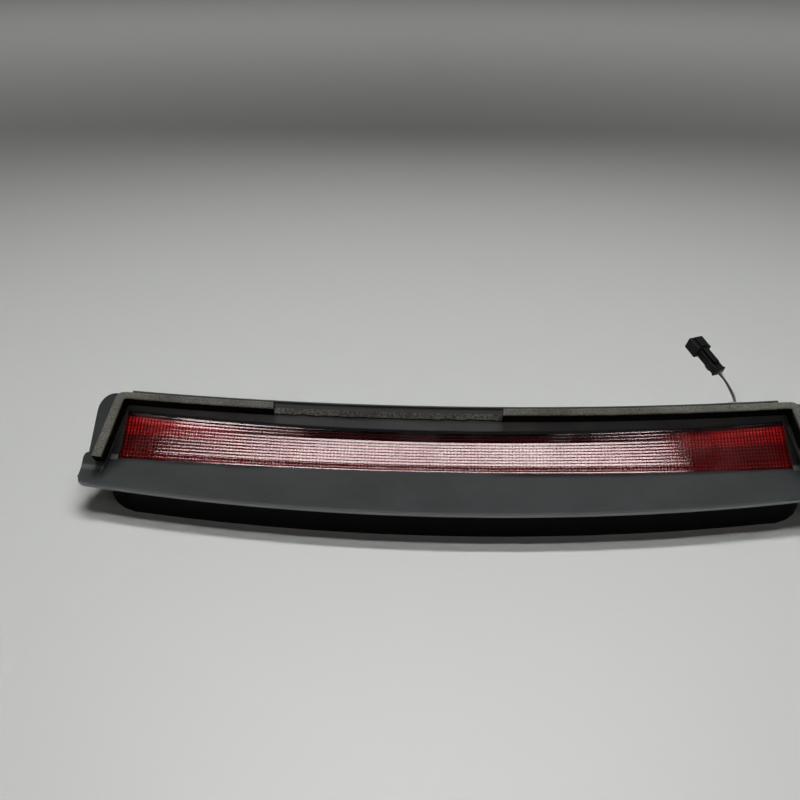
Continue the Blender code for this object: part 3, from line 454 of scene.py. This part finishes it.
def rounded_copy(name, width):
    """Stand a smooth-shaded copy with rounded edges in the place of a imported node."""
    bm = bmesh.new()
    bm.from_mesh(frame["nodes"][name].data)
    bmesh.ops.remove_doubles(bm, verts=bm.verts, dist=MERGE_DISTANCE)
    bmesh.ops.dissolve_limit(bm, angle_limit=FLAT_ANGLE, verts=bm.verts, edges=bm.edges)
    mesh = bpy.data.meshes.new(f"{name}_rounded")
    bm.to_mesh(mesh)
    bm.free()
    mesh.materials.clear()
    obj = add_piece(f"{name}_rounded", mesh, SLOT_OF[name], BODY_OF[name], name)
    bevel = obj.modifiers.new("rounded_edges", "BEVEL")
    bevel.limit_method = "ANGLE"
    bevel.angle_limit = EDGE_ANGLE
    bevel.width = width
    bevel.segments = 2
    bevel.harden_normals = True
    mesh.shade_smooth()
    mesh.set_sharp_from_angle(angle=EDGE_ANGLE)


def placed_route(points):
    """Points of a route, in millimetres from the lamp's front, as places in the scene."""
    offset = Vector((0, FRONT, STAND_HEIGHT))
    return [Vector(point) * MM + offset for point in points]


def wire(name, route, look, node_name):
    curve = bpy.data.curves.new(name, "CURVE")
    curve.dimensions = "3D"
    curve.bevel_depth = WIRE_DIAMETER / 2
    curve.bevel_resolution = 4
    curve.resolution_u = 6
    curve.use_fill_caps = True
    spline = curve.splines.new("BEZIER")
    points = placed_route(route)
    spline.bezier_points.add(len(points) - 1)
    for slot, point in zip(spline.bezier_points, points):
        slot.co = point
        slot.handle_left_type = slot.handle_right_type = "AUTO"
    obj = bpy.data.objects.new(name, curve)
    bpy.context.scene.collection.objects.link(obj)
    curve.materials.append(LOOKS[look])
    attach(obj, "carrier")
    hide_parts(node_name)


def arc(depth, radius, x):
    return FRONT + depth + x * x / (2 * radius)


def rear_edge(x):
    return arc(REAR_EDGE_DEPTH, REAR_EDGE_RADIUS, x)


def on_plate(x, down, lift=0.0):
    depth = rear_edge(x) - down * math.cos(GLASS_TILT) - lift * math.sin(GLASS_TILT)
    height = REAR_HEIGHT - down * math.sin(GLASS_TILT) + lift * math.cos(GLASS_TILT)
    return Vector((x, depth, STAND_HEIGHT + height))


def roof_edge(x):
    point = on_plate(x, ROOF_DOWN - ROOF_TAPER * (x / ROOF_HALF) ** 2)
    return Vector((point.y, point.z))


def lens_frame(x):
    foot = Vector((arc(LENS_FOOT_DEPTH, LENS_FOOT_RADIUS, x), STAND_HEIGHT + LENS_FOOT_HEIGHT))
    top = roof_edge(x) + Vector((LENS_TUCK, -LENS_DROP))
    up = (top - foot).normalized()
    return foot, top, up, Vector((-up.y, up.x))


def grid_faces(rows, columns, offset=0, flip=False):
    faces = []
    for i in range(rows - 1):
        for j in range(columns - 1):
            a = offset + i * columns + j
            quad = (a, a + 1, a + columns + 1, a + columns)
            faces.append(quad[::-1] if flip else quad)
    return faces


# ---------------------------------------------------------------- lens

def lens_point(share, climb, drop):
    """Point on the lens: share along its half-width, climb up its slope, drop behind its face."""
    half = LENS_HALF_LOW + (LENS_HALF_HIGH - LENS_HALF_LOW) * climb
    x = share * half
    foot, top, up, out = lens_frame(x)
    start = foot - up * LENS_SKIRT
    point = start + (top - start) * climb - out * drop
    return Vector((x, point.x, point.y))


def flute_profile():
    """Pairs of distance up the lens and depth behind its face, from its lower edge to its top."""
    points = [(0.0, 0.0)]
    start = LENS_SKIRT
    row = 0
    while start < LENS_SLOPE:
        for i in range(FLUTE_SAMPLES):
            share = i / FLUTE_SAMPLES
            points.append((start + share * FLUTE_PITCH, flute_depth(row, share)))
        start += FLUTE_PITCH
        row += 1
    return [point for point in points if point[0] < LENS_SLOPE] + [(LENS_SLOPE, 0.0)]


def flute_depth(row, share):
    """How far one flute lies behind the lens's face at a share of the way up it."""
    if row < ROUND_FLUTES:
        return ROUND_FLUTE_RISE * (2 * share - 1) ** 2
    tilt = FACET_TILT if row < FACET_FLUTES else TOP_TILT
    along = min(share, FACET_SHARE)
    swell = math.radians(FACET_SWELL) * along * (along / FACET_SHARE - 1)
    depth = FLUTE_PITCH * (math.tan(math.radians(tilt)) * along + swell)
    if share > FACET_SHARE:
        depth *= (1 - share) / (1 - FACET_SHARE)
    return depth


def rib_depth(distance):
    """How far the ribs stand out of the lens's back at a distance from its middle."""
    across = (distance / RIB_PITCH) % 1.0 - 0.5
    return RIB_RISE * 4 * across * across


def make_lens():
    """Clear moulding with flutes along its front and ribs up its back.

    Its map counts ribs from the middle and flutes from the lower edge.
    """
    inner_columns = round(2 * LENS_HALF_LOW / RIB_PITCH) * SAMPLES_PER_RIB
    points = []
    places = []
    profile = flute_profile()
    for distance, depth in profile:
        for j in range(LENS_COLUMNS + 1):
            share = 2 * j / LENS_COLUMNS - 1
            points.append(lens_point(share, distance / LENS_SLOPE, depth))
            places.append((share * LENS_HALF_LOW / RIB_PITCH, distance / FLUTE_PITCH))
    inner_start = len(points)
    for i in range(LENS_BACK_ROWS + 1):
        climb = i / LENS_BACK_ROWS
        for j in range(inner_columns + 1):
            share = 2 * j / inner_columns - 1
            depth = LENS_THICKNESS - rib_depth(share * LENS_HALF_LOW)
            points.append(lens_point(share, climb, depth))
            places.append((share * LENS_HALF_LOW / RIB_PITCH, climb * LENS_SLOPE / FLUTE_PITCH))
    faces = grid_faces(len(profile), LENS_COLUMNS + 1)
    faces += grid_faces(LENS_BACK_ROWS + 1, inner_columns + 1, inner_start, True)
    mesh = bpy.data.meshes.new("fluted_lens")
    mesh.from_pydata([tuple(point) for point in points], [], faces)
    flutes = mesh.uv_layers.new(name="flutes")
    for corner, loop in zip(flutes.data, mesh.loops):
        corner.uv = places[loop.vertex_index]
    bm = bmesh.new()
    bm.from_mesh(mesh)
    bmesh.ops.bridge_loops(bm, edges=[edge for edge in bm.edges if edge.is_boundary])
    bmesh.ops.recalc_face_normals(bm, faces=bm.faces)
    bm.to_mesh(mesh)
    bm.free()
    mesh.shade_smooth()
    mesh.set_sharp_from_angle(angle=LENS_SHARP_ANGLE)
    add_piece("fluted_lens", mesh, "red_lens", "lamp_body", "lens")


# ---------------------------------------------------------------- foam

def strip_ring(outer, inner, rounding, thickness, roughness):
    """Closed section of a strip between two points (x, down), with rounded upper edges."""
    width = math.hypot(outer[0] - inner[0], outer[1] - inner[1])
    outline = [(0.0, FOAM_LIFT), (width / 2, FOAM_LIFT), (width, FOAM_LIFT),
               (width, thickness * 0.35), (width, thickness * 0.7)]
    for angle in (0, 30, 60, 90):
        turn = math.radians(angle)
        across = width - rounding * (1 - math.cos(turn))
        outline.append((across, thickness - rounding * (1 - math.sin(turn))))
    for share in (0.7, 0.5, 0.3):
        outline.append((width * share, thickness))
    for angle in (90, 60, 30, 0):
        turn = math.radians(angle)
        across = rounding * (1 - math.cos(turn))
        outline.append((across, thickness - rounding * (1 - math.sin(turn))))
    outline += [(0.0, thickness * 0.7), (0.0, thickness * 0.35)]
    ring = []
    for across, lift in outline:
        share = across / width
        place = Vector(outer).lerp(Vector(inner), share)
        point = on_plate(place.x, place.y, lift)
        if lift > FOAM_LIFT:
            point += vector_noise.noise_vector(point * 900) * roughness
            point += vector_noise.noise_vector(point * 160) * roughness
        ring.append(point)
    return ring


def loft(name, rings, look, body, *nodes):
    """Closed smooth solid through rows of rings."""
    bm = bmesh.new()
    made = [[bm.verts.new(point) for point in ring] for ring in rings]
    count = len(made[0])
    for ring, following in zip(made, made[1:]):
        for i in range(count):
            j = (i + 1) % count
            bm.faces.new((ring[i], ring[j], following[j], following[i]))
    for ring in (made[0], made[-1]):
        bmesh.ops.poke(bm, faces=[bm.faces.new(ring)])
    bmesh.ops.recalc_face_normals(bm, faces=bm.faces)
    mesh = bpy.data.meshes.new(name)
    bm.to_mesh(mesh)
    bm.free()
    mesh.shade_smooth()
    mesh.set_sharp_from_angle(angle=FOAM_SHARP_ANGLE)
    return add_piece(name, mesh, look, body, *nodes)


def smooth_pairs(pairs):
    """Closely spaced points on smooth curves through a row of pairs of edge points."""
    padded = [pairs[0]] + pairs + [pairs[-1]]
    fine = []
    for four in zip(padded, padded[1:], padded[2:], padded[3:]):
        steps = max(1, round((Vector(four[2][0]) - Vector(four[1][0])).length / FOAM_STEP))
        edges = [[Vector(pair[k]) for pair in four] for k in (0, 1)]
        for i in range(steps):
            fine.append(tuple(blend_four(edge, i / steps) for edge in edges))
    fine.append(tuple(Vector(point) for point in pairs[-1]))
    return fine


def blend_four(points, t):
    """Point on a Catmull-Rom curve between the middle two of four points."""
    a, b, c, d = points
    return 0.5 * (2 * b + (c - a) * t + (2 * a - 5 * b + 4 * c - d) * t * t
                  + (3 * b - 3 * c + d - a) * t ** 3)


def straight_foam(start, end):
    return [((x, FOAM_OUTER_DOWN), (x, FOAM_INNER_DOWN)) for x in (start, (start + end) / 2, end)]


def foam_corner(sign, reach):
    """Edges round the corner and down the side; reach widens the corner."""
    outer = [(230 + reach, 5.7), (233.5 + reach, 7.6), (235.4 + reach, 11.0)]
    inner = [(227.5 + reach, 11.3), (228.9 + reach, 12.4), (229.6 + reach, 14.6)]
    outer_end = (244.3 + reach / 3, FOAM_END_DOWN / MM)
    inner_end = (237.3 + reach / 3, FOAM_END_DOWN / MM)
    for share in (1 / 3, 2 / 3, 1):
        outer.append(tuple(a + (b - a) * share for a, b in zip(outer[2], outer_end)))
        inner.append(tuple(a + (b - a) * share for a, b in zip(inner[2], inner_end)))
    return [((sign * a[0] * MM, a[1] * MM), (sign * b[0] * MM, b[1] * MM))
            for a, b in zip(outer, inner)]


def foam_strip(name, pairs, node_name):
    top = FOAM_LIFT + FOAM_THICKNESS
    rings = []
    for outer, inner in smooth_pairs(pairs):
        rings.append(strip_ring(outer, inner, FOAM_ROUNDING, top, FOAM_GRAIN))
    loft(name, rings, "foam", "lamp_body", node_name)


def make_foam():
    cut_left = [((FOAM_LEFT_END - FOAM_LEAN, FOAM_OUTER_DOWN), (FOAM_LEFT_END, FOAM_INNER_DOWN))]
    left = cut_left + straight_foam(FOAM_LEFT_END - 4 * MM, -FOAM_CORNER_START) + foam_corner(-1, 0)
    foam_strip("foam_left", left, "foam_seal_left")
    start = FOAM_RIGHT_START
    cut_right = [((start + 1 * MM, FOAM_OUTER_DOWN), (start - 1 * MM, FOAM_INNER_DOWN))]
    right = cut_right + straight_foam(start + 4 * MM, FOAM_SEAM)
    foam_strip("foam_right", right, "foam_seal_right")
    corner = straight_foam(FOAM_SEAM + FOAM_LIFT, FOAM_CORNER_START) + foam_corner(1, 2)
    foam_strip("foam_right_corner", corner, "foam_seal_right_corner")
    make_residue()


def make_residue():
    """What is left of a torn-off length of foam: a thin crumbly layer with a ragged lower edge."""
    rings = []
    start = FOAM_LEFT_END + 1 * MM
    end = FOAM_RIGHT_START - 2 * MM
    steps = round((end - start) / TORN_STEP)
    for i in range(steps + 1):
        x = start + (end - start) * i / steps
        ragged = vector_noise.noise(Vector((x * 120, 0, 0))) * 0.8
        ragged += vector_noise.noise(Vector((x * 700, 5, 0))) * 0.7
        thick = FOAM_LIFT + (0.9 + 0.5 * vector_noise.noise(Vector((x * 300, 9, 0)))) * MM
        inner = FOAM_INNER_DOWN - 0.8 * MM + ragged * MM
        outer = FOAM_OUTER_DOWN + 0.3 * MM
        rings.append(strip_ring((x, outer), (x, inner), TORN_ROUNDING, thick, TORN_GRAIN))
    residue = loft("torn_foam", rings, "foam", "lamp_body", "foam_residue")
    residue.data.materials[0] = TORN_FOAM


# ---------------------------------------------------------------- stage

def make_stage():
    """Pale round floor whose far edge sweeps up into a wall all round."""
    bm = bmesh.new()
    for radius, height in FLOOR_PROFILE:
        bm.verts.new((radius, 0, height))
    bm.verts.ensure_lookup_table()
    for first, second in zip(bm.verts[:-1], bm.verts[1:]):
        bm.edges.new((first, second))
    bmesh.ops.spin(bm, geom=bm.verts[:] + bm.edges[:], cent=(0, 0, 0), axis=(0, 0, 1),
                   angle=math.tau, steps=FLOOR_STEPS, use_merge=True)
    bmesh.ops.remove_doubles(bm, verts=bm.verts, dist=1 * MM)
    bmesh.ops.recalc_face_normals(bm, faces=bm.faces)
    mesh = bpy.data.meshes.new("floor")
    bm.to_mesh(mesh)
    bm.free()
    mesh.shade_smooth()
    floor = bpy.data.objects.new("floor", mesh)
    bpy.context.scene.collection.objects.link(floor)
    material = new_material("pale_floor", (0.6, 0.61, 0.59), 0.45)
    mesh.materials.append(material)


def area_light(name, place, target, size, power, spread=180, colour=(1, 1, 1)):
    data = bpy.data.lights.new(name, "AREA")
    data.shape = "RECTANGLE"
    data.size, data.size_y = size
    data.energy = power
    data.spread = math.radians(spread)
    data.color = colour
    light = bpy.data.objects.new(name, data)
    light.location = place
    light.rotation_euler = (Vector(target) - Vector(place)).to_track_quat("-Z", "Y").to_euler()
    bpy.context.scene.collection.objects.link(light)
    return light


def make_lights():
    """Two long lamps behind and above, a weak fill, wall washers and the lens's reflection."""
    world = bpy.data.worlds.new("studio")
    world.use_nodes = True
    background = world.node_tree.nodes["Background"]
    background.inputs["Color"].default_value = (0.5, 0.51, 0.5, 1)
    background.inputs["Strength"].default_value = 0.005
    bpy.context.scene.world = world
    area_light("rear_tube", (0.0, 0.85, 1.7), (0.0, -0.2, 0.0), TUBE_SIZE, 6.5, 90)
    area_light("top_tube", (0.0, 0.2, 1.8), (0.0, -0.2, 0.0), TUBE_SIZE, 2.8, 84)
    area_light("front_fill", (0.35, -0.7, 1.0), (0.0, 0.0, 0.0), (0.35, 0.25), 0.3)
    for name, x, y, power in WASHES:
        area_light(name, (2.5 * x, 2.5 * y, 3.0), (5.5 * x, 5.5 * y, 0.5), WASH_SIZE, power)
    sheen = area_light("front_sheen", (-0.04, -0.59, 0.915), (-0.04, 0.0, 0.03), (1.33, 0.3), 24,
                       colour=(1.0, 0.8, 0.8))
    sheen.visible_diffuse = False
    bpy.context.scene.view_settings.view_transform = "Standard"


make_camera()
dress_cad()
wire("lead_live", LIVE_ROUTE, "wire_black", "wire_live")
wire("lead_earth", EARTH_ROUTE, "wire_light", "wire_earth")
for moulded, rounding in ROUNDED.items():
    rounded_copy(moulded, rounding)
make_lens()
make_foam()
make_stage()
make_lights()
